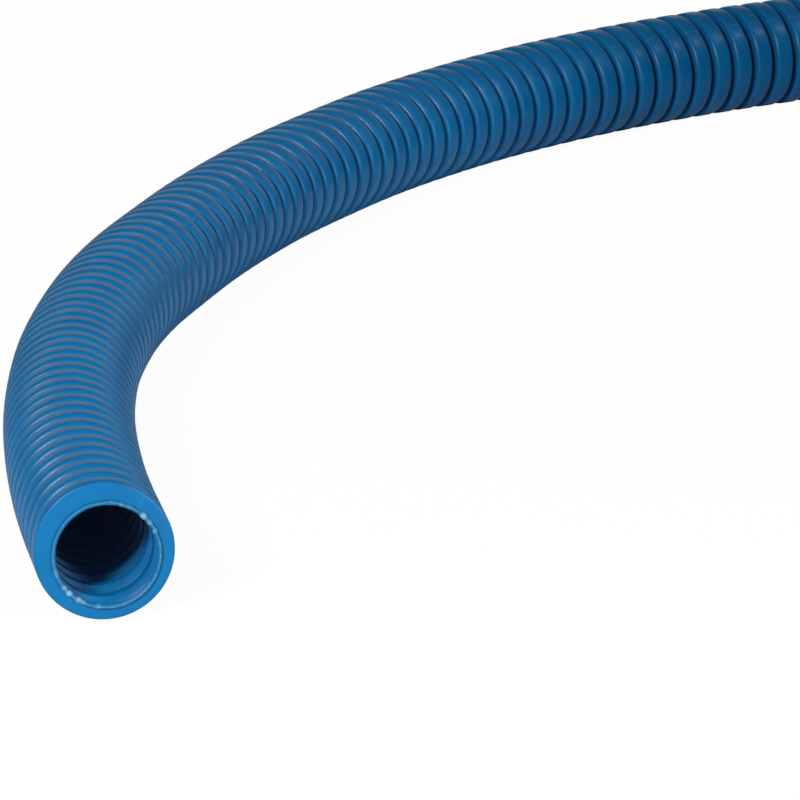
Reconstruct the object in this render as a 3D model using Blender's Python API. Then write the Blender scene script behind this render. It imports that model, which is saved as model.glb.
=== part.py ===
"""Corrugated pool vacuum hose: a bare, square-cut end, a loose bend, a tied coil and a swivelling end cuff."""

import math

import bmesh
import bpy
from mathutils import Vector

# Driving dimensions, in metres
OUTER_R = 0.0260  # crest of the ribs
ROOT_R = 0.0202  # bottom of the grooves, outside
BORE_R = 0.0190  # clear bore
WALL = 0.0012
PITCH = 0.0130  # rib to rib
CREST = 0.0094  # width of one rib at its top
FOOT = 0.0112  # and at its foot
RIB_CHAMFER = 0.0010
LIP = 0.0012  # cut groove wall standing proud of the last rib
MOUTH_RIBS = 4
FACE_GAP = 0.0003  # between touching pieces
TUBE_GAP = 0.0005  # between the end faces of two stretches of the hose

# Layout on the floor, measured from the centre of the cut end, then moved to the middle of the whole object
PLAN_CENTRE = (0.4998, 0.4879)
ROUTE = [
    (0, 0), (-2.1, 25), (-4.6, 55), (-7, 95), (-8.5, 145), (-8.5, 195), (-6.5, 244), (-2.5, 294), (4.5, 345),
    (13.5, 393), (25.5, 440), (41.5, 489), (58.5, 537), (77, 582), (97.5, 626), (122.5, 671), (149.5, 715),
    (178.5, 754), (211.5, 792), (247.5, 826), (287.5, 857), (329.5, 883), (372.5, 905), (417.5, 922.5), (464.5, 935),
    (513.5, 943.5), (563.5, 948.5), (613, 950.8), (657, 951.2),
]  # millimetres
COIL_CENTRE = (0.700, 0.646)
COIL_R = 0.2792  # middle of the turns
COIL_TURNS = 3.25
POINTS_PER_TURN = 24
LEAD_STUB = 0.250  # the free stretches are clear of the turns this far from the coil
TAIL_STUB = 0.200
LIFT_HINGE = 0.210  # distance along the hose from the cut end
SWEEP_HINGE = 0.640
HINGE_GAP = 0.0070  # half the stretch that flexes at each hinge
TUBE_STEP = 0.060
END_STEP = 0.004  # short last step, so that a tube's end faces its neighbour squarely

# Coil ties
TIE_WIDTH = 0.038
TIE_THICK = 0.0020
TIE_GAP = 0.0003
TIE_INNER_GAP = 0.0015  # the ring's inner side bows towards a straight band
TIE_TURNS = (0.10, 0.46, 0.68)  # where they sit, as a fraction of a turn from the lead
TIE_CORNER = 0.018
COIL_CHAMFER = 0.018
BUCKLE_LONG = 0.046
BUCKLE_WIDE = 0.030
BUCKLE_BAR = 0.004

# Swivelling end cuff, measured along its axis from the end of the hose
CUFF_Z = 0.0293
TAIL_STRAIGHT = 0.080
TAIL_SLOPE = 0.260
TAIL_END = 0.400
COLLAR_R = 0.0290
COLLAR_BORE = 0.0264
COLLAR_BACK = -0.030
SHOULDER = 0.0045
JOURNAL_R = 0.0230
JOURNAL_END = 0.0170
GROOVE_R = 0.0216
WASHER = (0.0234, 0.0280, 0.0048, 0.0060)
HUB_R = 0.0286
HUB_FLUTE = 0.0274
HUB_BACK = 0.0063
HUB_FRONT = 0.0300
SOCKET_R = 0.0192
SOCKET_OUTER_R = 0.0226
CUFF_END = 0.0780
SEAL_RADIUS = 0.0012

SEGMENTS = 24
FINE_SEGMENTS = 48


def clear_scene():
    for old in list(bpy.data.objects):
        bpy.data.objects.remove(old, do_unlink=True)


def material(name, colour, roughness, metallic=0.0):
    mat = bpy.data.materials.new(name)
    mat.use_nodes = True
    shader = mat.node_tree.nodes["Principled BSDF"]
    shader.inputs["Base Color"].default_value = (*colour, 1)
    shader.inputs["Roughness"].default_value = roughness
    shader.inputs["Metallic"].default_value = metallic
    return mat


def smooth(u):
    u = min(max(u, 0.0), 1.0)
    return u * u * (3 - 2 * u)


def coil_point(turn):
    """Centre of the hose after this many turns: outer and inner bottom turns, then inner and outer top turns."""
    inward = smooth((turn - 0.74) / 0.24) - smooth((turn - 2.30) / 0.24)
    upward = smooth((turn - 1.52) / 0.24)
    radius = COIL_R + OUTER_R - 2 * OUTER_R * inward
    angle = math.pi / 2 - 2 * math.pi * turn
    z = OUTER_R + TIE_THICK + TIE_GAP + 2 * OUTER_R * upward
    return Vector((COIL_CENTRE[0] + radius * math.cos(angle), COIL_CENTRE[1] + radius * math.sin(angle), z))


def tail_point(distance):
    """Centre of the hose this far after it leaves the coil: level, then down a long slope, then level again."""
    start = coil_point(COIL_TURNS)
    drop = (start.z - CUFF_Z) * smooth((distance - TAIL_STRAIGHT) / TAIL_SLOPE)
    return Vector((start.x, start.y - distance, start.z - drop))


def route_points():
    """Hand-laid points, the turns of the coil and the tail, in order from the cut end."""
    points = [Vector((x / 1000, y / 1000, OUTER_R)) for x, y in ROUTE]
    rise = coil_point(0).z - OUTER_R
    for k in range(1, 7):
        points[-k].z += rise * (7 - k) / 6
    lead = len(points)
    count = round(COIL_TURNS * POINTS_PER_TURN)
    points += [coil_point(COIL_TURNS * k / count) for k in range(count + 1)]
    coil_end = len(points)
    points += [tail_point(d / 1000) for d in range(40, round(TAIL_END * 1000) + 1, 30)]
    return points, lead, coil_end


def spline(points, steps=8):
    """Smooth curve through the points, as a fine polyline with the distance of each point from the start."""
    fine = []
    ends = [2 * points[0] - points[1]] + points + [2 * points[-1] - points[-2]]
    for a, b, c, d in zip(ends, ends[1:], ends[2:], ends[3:]):
        for k in range(steps):
            t = k / steps
            fine.append(
                0.5 * (2 * b + (c - a) * t + (2 * a - 5 * b + 4 * c - d) * t * t + (3 * b - a - 3 * c + d) * t**3)
            )
    fine.append(points[-1].copy())
    far = [0.0]
    for a, b in zip(fine, fine[1:]):
        far.append(far[-1] + (b - a).length)
    return fine, far


class Path:
    """The hose's centreline, read by distance from the cut end."""

    def __init__(self):
        points, lead, coil_end = route_points()
        self.fine, self.far = spline(points)
        self.coil_start = self.near(points[lead])
        self.coil_end = self.near(points[coil_end - 1])
        self.length = self.far[-1]

    def near(self, point):
        return min(zip(self.fine, self.far), key=lambda pair: (pair[0] - point).length)[1]

    def at(self, distance):
        for k in range(1, len(self.far)):
            if self.far[k] >= distance:
                u = (distance - self.far[k - 1]) / (self.far[k] - self.far[k - 1])
                return self.fine[k - 1].lerp(self.fine[k], u)
        return self.fine[-1].copy()

    def heading(self, distance):
        return (self.at(distance + 0.002) - self.at(distance - 0.002)).normalized()


def finish(obj, mat):
    obj.data.materials.append(mat)
    obj.location.x -= PLAN_CENTRE[0]
    obj.location.y -= PLAN_CENTRE[1]
    return obj


def mesh_object(name, bm):
    bmesh.ops.recalc_face_normals(bm, faces=bm.faces)
    mesh = bpy.data.meshes.new(name)
    bm.to_mesh(mesh)
    bm.free()
    obj = bpy.data.objects.new(name, mesh)
    bpy.context.scene.collection.objects.link(obj)
    return obj


def loft(name, rings, closed=False):
    """Skin over rings of points. Rings in a closed series join up; an open series gets end caps."""
    bm = bmesh.new()
    verts = [[bm.verts.new(p) for p in ring] for ring in rings]
    pairs = list(zip(verts, verts[1:]))
    if closed:
        pairs.append((verts[-1], verts[0]))
    for a, b in pairs:
        for k in range(len(a)):
            n = (k + 1) % len(a)
            bm.faces.new((a[k], a[n], b[n], b[k]))
    if not closed:
        bm.faces.new(verts[0])
        bm.faces.new(verts[-1])
    return mesh_object(name, bm)


def lathe(name, profile, segments=SEGMENTS, radius_at=None):
    """Turned piece about local Z from a closed profile of (radius, height) that stays clear of the axis."""
    rings = []
    for r, z in profile:
        ring = []
        for k in range(segments):
            angle = 2 * math.pi * k / segments
            radius = radius_at(r, k) if radius_at else r
            ring.append((radius * math.cos(angle), radius * math.sin(angle), z))
        rings.append(ring)
    obj = loft(name, rings, closed=True)
    obj.data.shade_smooth()
    obj.data.set_sharp_from_angle(angle=math.radians(35))
    return obj


def tube(name, path, start, end, mat):
    """Plain round stretch of the hose between two distances along it."""
    count = math.ceil((end - start) / TUBE_STEP)
    stops = [start + (end - start) * k / count for k in range(count + 1)]
    if end - start > 4 * END_STEP:
        stops = [start, start + END_STEP] + stops[1:-1] + [end - END_STEP, end]
    curve = bpy.data.curves.new(name, "CURVE")
    curve.dimensions = "3D"
    curve.bevel_depth = OUTER_R
    curve.bevel_resolution = 4
    curve.use_fill_caps = True
    line = curve.splines.new("POLY")
    line.points.add(len(stops) - 1)
    for point, stop in zip(line.points, stops):
        point.co = (*path.at(stop), 1)
    obj = bpy.data.objects.new(name, curve)
    bpy.context.scene.collection.objects.link(obj)
    return finish(obj, mat)


def mouth_length():
    return LIP + (MOUTH_RIBS - 1) * PITCH + FOOT + (PITCH - FOOT) / 2


def hose_mouth(path, mat):
    """Cut end with its open bore: straight, corrugated inside and out, with a short square lip."""
    outer = [(BORE_R, 0), (ROOT_R, 0)]
    inner = []
    for k in range(MOUTH_RIBS):
        foot = LIP + k * PITCH
        top = foot + (FOOT - CREST) / 2
        outer += [
            (ROOT_R, foot), (OUTER_R - RIB_CHAMFER, top), (OUTER_R, top + RIB_CHAMFER),
            (OUTER_R, top + CREST - RIB_CHAMFER), (OUTER_R - RIB_CHAMFER, top + CREST), (ROOT_R, foot + FOOT),
        ]
        inner += [
            (BORE_R, foot + WALL), (OUTER_R - WALL, top + WALL), (OUTER_R - WALL, top + CREST - WALL),
            (BORE_R, foot + FOOT - WALL),
        ]
    outer += [(ROOT_R, mouth_length()), (BORE_R, mouth_length())]
    obj = lathe("hose_mouth", outer + inner[::-1])
    obj.rotation_euler = path.heading(mouth_length() / 2).to_track_quat("Z", "Y").to_euler()
    obj.location = path.at(0)
    return finish(obj, mat)


def boolean(obj, other, operation):
    mod = obj.modifiers.new(operation.lower(), "BOOLEAN")
    mod.operation = operation
    mod.solver = "EXACT"
    mod.object = other
    other.hide_render = True
    other.display_type = "WIRE"


def stub(name, path, start, end):
    """Short stretch of the hose as a plain bar, which joins the coil to the free stretch beyond it."""
    rings = []
    for k in range(6):
        stop = start + (end - start) * k / 5
        middle, along = path.at(stop), path.heading(stop)
        side = along.cross(Vector((0, 0, 1))).normalized()
        up = side.cross(along)
        ring = []
        for n in range(12):
            angle = 2 * math.pi * (n + 0.5) / 12
            ring.append(middle + (OUTER_R - FACE_GAP) * (math.cos(angle) * side + math.sin(angle) * up))
        rings.append(ring)
    obj = loft(name, rings)
    obj.location.x -= PLAN_CENTRE[0]
    obj.location.y -= PLAN_CENTRE[1]
    return obj


def hose_coil(path, lead_end, tail_start, mat):
    """Outer shape of the wound length: a turned ring two hoses wide and two high, with its two ends leaving it."""
    low = TIE_THICK + TIE_GAP
    high = low + 4 * OUTER_R
    half = 2 * OUTER_R + FACE_GAP
    cut = COIL_CHAMFER
    profile = [
        (COIL_R - half + cut, low), (COIL_R + half - cut, low), (COIL_R + half, low + cut),
        (COIL_R + half, high - cut), (COIL_R + half - cut, high), (COIL_R - half + cut, high),
        (COIL_R - half, high - cut), (COIL_R - half, low + cut),
    ]
    ring = lathe("hose_coil", profile, FINE_SEGMENTS)
    ring.location = (COIL_CENTRE[0], COIL_CENTRE[1], 0)
    finish(ring, mat)
    boolean(ring, stub("lead_stub", path, path.coil_start, lead_end + TUBE_GAP), "UNION")
    boolean(ring, stub("tail_stub", path, path.coil_end, tail_start), "UNION")
    return ring


def band_outline(left, right, low, high, corner, steps=4):
    """Rounded rectangle in the plane across the coil, as (outward, up) points, anticlockwise from the bottom."""
    points = []
    for cx, cz, first in (
        (right - corner, low + corner, -90), (right - corner, high - corner, 0),
        (left + corner, high - corner, 90), (left + corner, low + corner, 180),
    ):
        for k in range(steps + 1):
            angle = math.radians(first + 90 * k / steps)
            points.append((cx + corner * math.cos(angle), cz + corner * math.sin(angle)))
    return points


def tie_frame(turn):
    angle = math.pi / 2 - 2 * math.pi * turn
    return Vector((math.cos(angle), math.sin(angle), 0)), Vector((-math.sin(angle), math.cos(angle), 0))


def tie_place(turn, outward, up, across):
    out, side = tie_frame(turn)
    centre = Vector((COIL_CENTRE[0], COIL_CENTRE[1], 0))
    return centre + (COIL_R + outward) * out + across * side + Vector((0, 0, up))


def coil_tie(index, turn, mat):
    """Webbing band round the coil, open on top where its buckle sits."""
    right = 2 * OUTER_R + FACE_GAP + TIE_GAP
    left = -right - TIE_INNER_GAP
    low = TIE_THICK
    high = TIE_THICK + 2 * TIE_GAP + 4 * OUTER_R
    inside = band_outline(left, right, low, high, TIE_CORNER - TIE_THICK)
    outside = band_outline(left - TIE_THICK, right + TIE_THICK, low - TIE_THICK, high + TIE_THICK, TIE_CORNER)
    opening = BUCKLE_WIDE / 2 + FACE_GAP
    cut = 10
    inside = inside[cut:] + inside[:cut]
    outside = outside[cut:] + outside[:cut]
    inside = [(-opening, high)] + inside + [(opening, high)]
    outside = [(-opening, high + TIE_THICK)] + outside + [(opening, high + TIE_THICK)]
    rings = []
    for (a, b), (c, d) in zip(inside, outside):
        rings.append([
            tie_place(turn, a, b, -TIE_WIDTH / 2), tie_place(turn, a, b, TIE_WIDTH / 2),
            tie_place(turn, c, d, TIE_WIDTH / 2), tie_place(turn, c, d, -TIE_WIDTH / 2),
        ])
    return finish(loft(f"coil_tie_{index}", rings), mat)


def tie_buckle(index, turn, mat):
    """Flat rectangular loop lying on the coil, which the band's two ends close on."""
    low = TIE_THICK + 2 * TIE_GAP + 4 * OUTER_R
    rings = []
    for grow, up in ((0, 0), (BUCKLE_BAR, 0), (BUCKLE_BAR, BUCKLE_BAR), (0, BUCKLE_BAR)):
        out = BUCKLE_WIDE / 2 - BUCKLE_BAR + grow
        side = BUCKLE_LONG / 2 - BUCKLE_BAR + grow
        rings.append([
            tie_place(turn, -out, low + up, -side), tie_place(turn, out, low + up, -side),
            tie_place(turn, out, low + up, side), tie_place(turn, -out, low + up, side),
        ])
    return finish(loft(f"tie_buckle_{index}", rings, closed=True), mat)


def place_on_cuff(obj, path, mat):
    """Turn a lathe piece so that its axis runs out of the far end of the hose."""
    obj.rotation_euler = (math.pi / 2, 0, 0)
    obj.location = path.at(path.length)
    return finish(obj, mat)


def cuff_insert(path, mat):
    """Collar over the end of the hose, with the grooved journal that the cuff turns on."""
    ring_low, ring_high = 0.0124, 0.0146
    profile = [
        (COLLAR_BORE, COLLAR_BACK), (COLLAR_R - 0.001, COLLAR_BACK), (COLLAR_R, COLLAR_BACK + 0.001),
        (COLLAR_R, SHOULDER - 0.001), (COLLAR_R - 0.001, SHOULDER), (JOURNAL_R, SHOULDER), (JOURNAL_R, ring_low),
        (GROOVE_R, ring_low), (GROOVE_R, ring_high), (JOURNAL_R, ring_high), (JOURNAL_R, JOURNAL_END),
        (SOCKET_R, JOURNAL_END), (SOCKET_R, FACE_GAP), (COLLAR_BORE, FACE_GAP),
    ]
    return place_on_cuff(lathe("cuff_insert", profile), path, mat)


def cuff_thrust_washer(path, mat):
    inner, outer, low, high = WASHER
    profile = [(inner, low), (outer, low), (outer, high), (inner, high)]
    return place_on_cuff(lathe("cuff_thrust_washer", profile), path, mat)


def cuff_seal(path, mat):
    """O-ring between the end of the journal and the cuff's inner shoulder."""
    middle_r, middle_z = 0.0212, JOURNAL_END + FACE_GAP + SEAL_RADIUS
    profile = []
    for k in range(8):
        angle = 2 * math.pi * k / 8
        profile.append((middle_r + SEAL_RADIUS * math.cos(angle), middle_z + SEAL_RADIUS * math.sin(angle)))
    return place_on_cuff(lathe("cuff_seal", profile), path, mat)


def cuff_retaining_ring(path, mat):
    """Split ring in the journal's groove, standing out into the cuff's own groove."""
    low, high = 0.0128, 0.0142
    inner, outer = GROOVE_R + 0.0003, 0.0246
    count = 22
    rings = []
    for k in range(count + 1):
        angle = math.radians(8 + 344 * k / count)
        c, s = math.cos(angle), math.sin(angle)
        rings.append([(inner * c, inner * s, low), (outer * c, outer * s, low),
                      (outer * c, outer * s, high), (inner * c, inner * s, high)])
    return place_on_cuff(loft("cuff_retaining_ring", rings), path, mat)


def swivel_cuff(path, mat):
    """Turning cuff: a fluted hub on the journal and a plain socket that pushes onto a wand."""
    running = JOURNAL_R + 0.0003
    profile = [
        (running, HUB_BACK), (HUB_FLUTE, HUB_BACK), (HUB_R, HUB_BACK + 0.0015), (HUB_R, HUB_FRONT - 0.003),
        (HUB_FLUTE, HUB_FRONT), (SOCKET_OUTER_R + 0.001, HUB_FRONT + 0.003), (SOCKET_OUTER_R, HUB_FRONT + 0.008),
        (SOCKET_OUTER_R, CUFF_END - 0.001), (SOCKET_OUTER_R - 0.001, CUFF_END), (SOCKET_R, CUFF_END),
        (SOCKET_R, JOURNAL_END + 2 * FACE_GAP + 2 * SEAL_RADIUS),
        (running, JOURNAL_END + 2 * FACE_GAP + 2 * SEAL_RADIUS),
        (running, 0.0148), (0.0250, 0.0148), (0.0250, 0.0122), (running, 0.0122),
    ]

    def fluted(radius, k):
        return HUB_FLUTE if radius == HUB_R and k % 4 < 2 else radius

    return place_on_cuff(lathe("swivel_cuff", profile, FINE_SEGMENTS, fluted), path, mat)


def build():
    clear_scene()
    hose_blue = material("hose_blue_polymer", (0.012, 0.16, 0.42), 0.42)
    cuff_blue = material("cuff_dark_polymer", (0.02, 0.035, 0.06), 0.45)
    washer_white = material("washer_acetal", (0.85, 0.85, 0.82), 0.4)
    seal_black = material("seal_rubber", (0.02, 0.02, 0.02), 0.7)
    ring_steel = material("ring_steel", (0.7, 0.7, 0.72), 0.3, 1.0)
    webbing = material("tie_webbing", (0.03, 0.03, 0.035), 0.85)
    buckle = material("tie_buckle_polymer", (0.03, 0.03, 0.03), 0.5)
    path = Path()
    print("hose length", round(path.length, 4), "coil", round(path.coil_start, 4), round(path.coil_end, 4))

    lead_end = path.coil_start - LEAD_STUB
    tail_start = path.coil_end + TAIL_STUB
    hose_mouth(path, hose_blue)
    stops = [
        ("hose_end_run", mouth_length(), LIFT_HINGE - HINGE_GAP),
        ("hose_lift_bend", LIFT_HINGE - HINGE_GAP, LIFT_HINGE + HINGE_GAP),
        ("hose_middle_run", LIFT_HINGE + HINGE_GAP, SWEEP_HINGE - HINGE_GAP),
        ("hose_sweep_bend", SWEEP_HINGE - HINGE_GAP, SWEEP_HINGE + HINGE_GAP),
        ("hose_lead_run", SWEEP_HINGE + HINGE_GAP, lead_end),
        ("hose_tail_run", tail_start, path.length),
    ]
    for name, start, end in stops:
        tube(name, path, start + TUBE_GAP, end, hose_blue)
    hose_coil(path, lead_end, tail_start, hose_blue)

    cuff_insert(path, cuff_blue)
    cuff_thrust_washer(path, washer_white)
    cuff_seal(path, seal_black)
    cuff_retaining_ring(path, ring_steel)
    swivel_cuff(path, cuff_blue)
    for index, turn in enumerate(TIE_TURNS, 1):
        coil_tie(index, turn, webbing)
        tie_buckle(index, turn, buckle)
    for hinge in (LIFT_HINGE, SWEEP_HINGE):
        here, heading = path.at(hinge), path.heading(hinge)
        print("hinge", [round(v, 5) for v in here], "heading", [round(v, 5) for v in heading])


build()
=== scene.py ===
import bpy
import bmesh
import math
from mathutils import Euler, Matrix, Vector, noise


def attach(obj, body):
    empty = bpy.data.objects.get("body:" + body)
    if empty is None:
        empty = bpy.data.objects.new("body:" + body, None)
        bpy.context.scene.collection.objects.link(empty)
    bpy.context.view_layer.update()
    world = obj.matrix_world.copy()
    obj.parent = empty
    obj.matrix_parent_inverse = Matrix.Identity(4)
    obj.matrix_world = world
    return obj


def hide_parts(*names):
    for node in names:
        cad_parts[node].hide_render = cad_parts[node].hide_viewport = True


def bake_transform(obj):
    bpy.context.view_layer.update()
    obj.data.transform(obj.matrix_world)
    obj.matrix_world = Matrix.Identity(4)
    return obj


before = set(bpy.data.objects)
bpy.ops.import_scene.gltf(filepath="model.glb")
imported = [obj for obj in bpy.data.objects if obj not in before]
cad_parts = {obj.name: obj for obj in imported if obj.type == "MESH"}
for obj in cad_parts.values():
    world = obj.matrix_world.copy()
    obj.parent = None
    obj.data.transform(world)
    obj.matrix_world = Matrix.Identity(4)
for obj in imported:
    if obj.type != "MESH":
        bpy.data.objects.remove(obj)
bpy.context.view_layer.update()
print("frame loaded")


def linear(hexColour):
    parts = [int(hexColour[k:k + 2], 16) / 255 for k in (1, 3, 5)]
    return tuple(c / 12.92 if c < 0.04045 else ((c + 0.055) / 1.055) ** 2.4 for c in parts) + (1.0,)


def feed(tree, node, inputs):
    # an input is a plain value, a socket, or a node whose first output is meant
    for place, value in inputs.items():
        if isinstance(value, bpy.types.Node):
            value = value.outputs[0]
        if isinstance(value, bpy.types.NodeSocket):
            tree.links.new(value, node.inputs[place])
        else:
            node.inputs[place].default_value = value


def addNode(tree, kind, *inputs, **settings):
    # inputs stand in order or in a dictionary, and a kind in capitals is a Math node's operation
    if kind.isupper():
        kind, settings["operation"] = "ShaderNodeMath", kind
    node = tree.nodes.new(kind)
    for name, value in settings.items():
        setattr(node, name, value)
    for place, value in enumerate(inputs):
        feed(tree, node, value if isinstance(value, dict) else {place: value})
    return node


# camera: a long lens close to the floor, looking into the open end
view = {
    "place": (-0.0412, -2.2831, 0.6460),  # from the cut end
    "turn": -3.769,
    "down": 13.946,
    "roll": -1.584,
    "lens": 291.96,
    "shiftY": 0.0015,
}


def makeCamera():
    data = bpy.data.cameras.new("camera")
    data.lens = view["lens"]
    data.sensor_width = 36
    data.shift_y = view["shiftY"]
    data.clip_start = 0.05
    data.clip_end = 60
    camera = bpy.data.objects.new("camera", data)
    bpy.context.scene.collection.objects.link(camera)
    turned = Euler((math.radians(90 - view["down"]), 0, math.radians(view["turn"]))).to_matrix().to_4x4()
    rolled = Matrix.Rotation(math.radians(view["roll"]), 4, "Z")
    x, y, z = view["place"]
    place = Vector((x - hose["planCentre"][0], y - hose["planCentre"][1], z))
    camera.matrix_world = Matrix.Translation(place) @ turned @ rolled
    bpy.context.scene.camera = camera


# the hose's line on the floor, hand-laid, then its turns in the coil and its tail
hose = {
    "radius": 0.0260,
    "root": 0.0202,
    "bore": 0.0190,
    "wall": 0.0012,
    "pitch": 0.0130,
    "crest": 0.0094,  # width of a rib on top and at its foot
    "foot": 0.0112,
    "lip": 0.0012,
    # half a rib from its foot to the middle of its top: share of its half width, share of its height
    "outline": [(1.0, 0.0), (0.985, 0.62), (0.93, 0.82), (0.84, 0.94), (0.72, 0.985), (0.58, 1.0),
                (0.0, 1.0)],
    "freeRibs": 33,  # ribs in the free end piece, in place of the mouth, end run and lift bend
    "middleRibs": 48,  # ribs in the middle piece, in place of the middle run, sweep bend and lead run
    "route": [
        (0, 0), (-2.1, 25), (-4.6, 55), (-7, 95), (-8.5, 145), (-8.5, 195), (-6.5, 244), (-2.5, 294),
        (4.5, 345),
        (13.5, 393), (25.5, 440), (41.5, 489), (58.5, 537), (77, 582), (97.5, 626), (122.5, 671),
        (149.5, 715),
        (178.5, 754), (211.5, 792), (247.5, 826), (287.5, 857), (329.5, 883), (372.5, 905),
        (417.5, 922.5), (464.5, 935),
        (513.5, 943.5), (563.5, 948.5), (613, 950.8), (657, 951.2),
    ],  # millimetres from the cut end
    "planCentre": (0.4998, 0.4879),
    "coilCentre": (0.700, 0.646),
    "coilRadius": 0.2792,
    "coilTurns": 3.25,
    "goesIn": 0.74,  # turns after which it moves in, climbs and moves out again
    "climbs": 1.52,
    "goesOut": 2.30,
    "crossover": 0.24,  # turns that each of these takes
    "pointsPerTurn": 24,
    "underCoil": 0.0023,  # the ties lie between the coil and the floor
    "liftPoints": 6,  # points of the route over which it rises on to the first tie
    "tailPoints": (40, 30),  # millimetres to the first and between the others
    "tailStraight": 0.080,
    "tailSlope": 0.260,
    "tailEnd": 0.400,
    "tailHeight": 0.0293,
}


def ease(u):
    u = min(max(u, 0.0), 1.0)
    return u * u * (3 - 2 * u)


def coilPoint(turn):
    radius, over = hose["radius"], hose["crossover"]
    inward = ease((turn - hose["goesIn"]) / over) - ease((turn - hose["goesOut"]) / over)
    upward = ease((turn - hose["climbs"]) / over)
    reach = hose["coilRadius"] + radius - 2 * radius * inward
    angle = math.pi / 2 - 2 * math.pi * turn
    cx, cy = hose["coilCentre"]
    return Vector((cx + reach * math.cos(angle), cy + reach * math.sin(angle),
                   radius + hose["underCoil"] + 2 * radius * upward))


def tailPoint(distance):
    start = coilPoint(hose["coilTurns"])
    drop = (start.z - hose["tailHeight"]) * ease((distance - hose["tailStraight"]) / hose["tailSlope"])
    return Vector((start.x, start.y - distance, start.z - drop))


def smoothLine(points, steps=8):
    fine = []
    ends = [2 * points[0] - points[1]] + points + [2 * points[-1] - points[-2]]
    for a, b, c, d in zip(ends, ends[1:], ends[2:], ends[3:]):
        for k in range(steps):
            t = k / steps
            fine.append(0.5 * (2 * b + (c - a) * t + (2 * a - 5 * b + 4 * c - d) * t * t
                               + (3 * b - a - 3 * c + d) * t**3))
    fine.append(points[-1].copy())
    return fine


def hoseLine():
    points = [Vector((x / 1000, y / 1000, hose["radius"])) for x, y in hose["route"]]
    lift = hose["liftPoints"]
    for k in range(1, lift + 1):
        points[-k].z += hose["underCoil"] * (lift + 1 - k) / lift
    count = round(hose["coilTurns"] * hose["pointsPerTurn"])
    points += [coilPoint(hose["coilTurns"] * k / count) for k in range(count + 1)]
    first, apart = hose["tailPoints"]
    points += [tailPoint(d / 1000) for d in range(first, round(hose["tailEnd"] * 1000) + 1, apart)]
    away = Vector((*hose["planCentre"], 0))
    return [p - away for p in smoothLine(points)]


class Line:
    def __init__(self, points):
        self.points = points
        self.far = [0.0]
        for a, b in zip(points, points[1:]):
            self.far.append(self.far[-1] + (b - a).length)
        self.length = self.far[-1]

    def at(self, distance):
        for k in range(1, len(self.far)):
            if self.far[k] >= distance:
                u = (distance - self.far[k - 1]) / (self.far[k] - self.far[k - 1])
                return self.points[k - 1].lerp(self.points[k], u)
        return self.points[-1].copy()

    def heading(self, distance):
        return (self.at(distance + 0.002) - self.at(distance - 0.002)).normalized()

    def between(self, start, end, step=0.02):
        count = max(2, round((end - start) / step))
        return [self.at(start + (end - start) * k / count) for k in range(count + 1)]


makeCamera()
line = Line(hoseLine())
print("hose line laid, metres:", round(line.length, 4))


def outlineCurve(tree, value, column):
    # reads the rib's outline: 1 at its foot, 0 at the middle of its top
    node = addNode(tree, "ShaderNodeFloatCurve", {"Factor": 1.0, "Value": value})
    dots = hose["outline"][::-1]
    curve = node.mapping.curves[0]
    while len(curve.points) < len(dots):
        curve.points.new(0.5, 0.5)
    for k, (point, dot) in enumerate(zip(curve.points, dots)):
        point.location = (k / (len(dots) - 1), dot[column])
        point.handle_type = "VECTOR"
    node.mapping.update()
    return node.outputs[0]


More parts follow.
